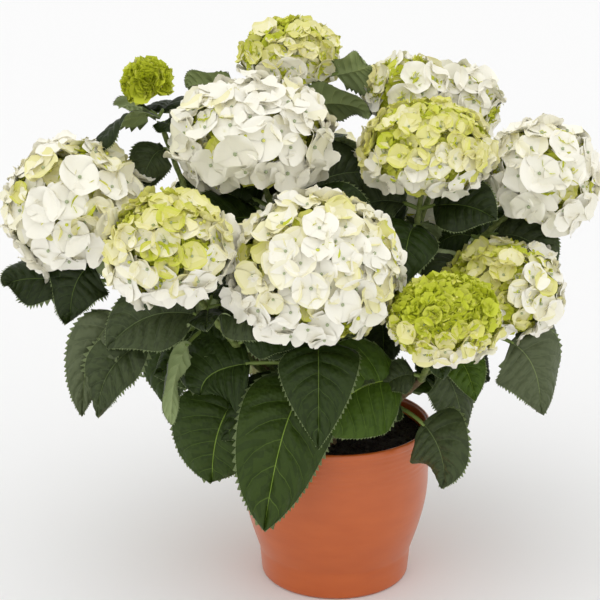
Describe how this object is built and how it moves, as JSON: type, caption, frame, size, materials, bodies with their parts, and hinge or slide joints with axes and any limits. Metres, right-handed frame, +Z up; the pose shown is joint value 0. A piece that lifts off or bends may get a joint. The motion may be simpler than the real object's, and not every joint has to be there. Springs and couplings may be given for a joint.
{
  "type": "potted mophead hydrangea shrub",
  "caption": "Potted flowering shrub: round white, cream and lime heads on short stems over large dark leaves, in a bellied terracotta-coloured pot.",
  "frame": {"origin": "centre of the pot's flat underside, on the surface that the pot stands on", "axes": "+Z up, +X to the right of the plant seen from its front, -Y towards the front"},
  "size_m": [0.5617, 0.4413, 0.5348],
  "materials": {
    "pot": "satin",
    "soil": "matte",
    "stem": "matte",
    "bough": "matte",
    "leaves": "satin",
    "bloom": "matte",
    "young": "matte"
  },
  "bodies": {
    "root": {"bough_back": "bough", "bough_back_high_right": "bough", "bough_back_left": "bough", "bough_back_right": "bough", "bough_bud": "bough", "bough_centre": "bough", "bough_far_left": "bough", "bough_far_right": "bough", "bough_far_right_low": "bough", "bough_high_right": "bough", "bough_left": "bough", "bough_right": "bough", "bough_top": "bough", "bough_upper_left": "bough", "bough_upper_right": "bough", "head_back": "bloom", "head_back_high_right": "bloom", "head_back_left": "bloom", "head_back_right": "bloom", "head_bud": "young", "head_centre": "bloom", "head_far_left": "bloom", "head_far_right": "bloom", "head_far_right_low": "bloom", "head_high_right": "bloom", "head_left": "bloom", "head_right": "young", "head_top": "bloom", "head_upper_left": "bloom", "head_upper_right": "bloom", "leaves_back": "leaves", "leaves_back_high_right": "leaves", "leaves_back_left": "leaves", "leaves_back_right": "leaves", "leaves_bud": "leaves", "leaves_centre": "leaves", "leaves_far_left": "leaves", "leaves_far_right": "leaves", "leaves_far_right_low": "leaves", "leaves_high_right": "leaves", "leaves_left": "leaves", "leaves_low_back_left": "leaves", "leaves_low_back_right": "leaves", "leaves_low_front": "leaves", "leaves_low_left": "leaves", "leaves_low_right": "leaves", "leaves_right": "leaves", "leaves_top": "leaves", "leaves_upper_left": "leaves", "leaves_upper_right": "leaves", "pot": "pot", "soil": "soil", "stem_back_left": "stem", "stem_back_right": "stem", "stem_far_right": "stem", "stem_front": "stem", "stem_left": "stem", "stem_middle": "stem", "stem_right": "stem"}
  },
  "joints": []
}
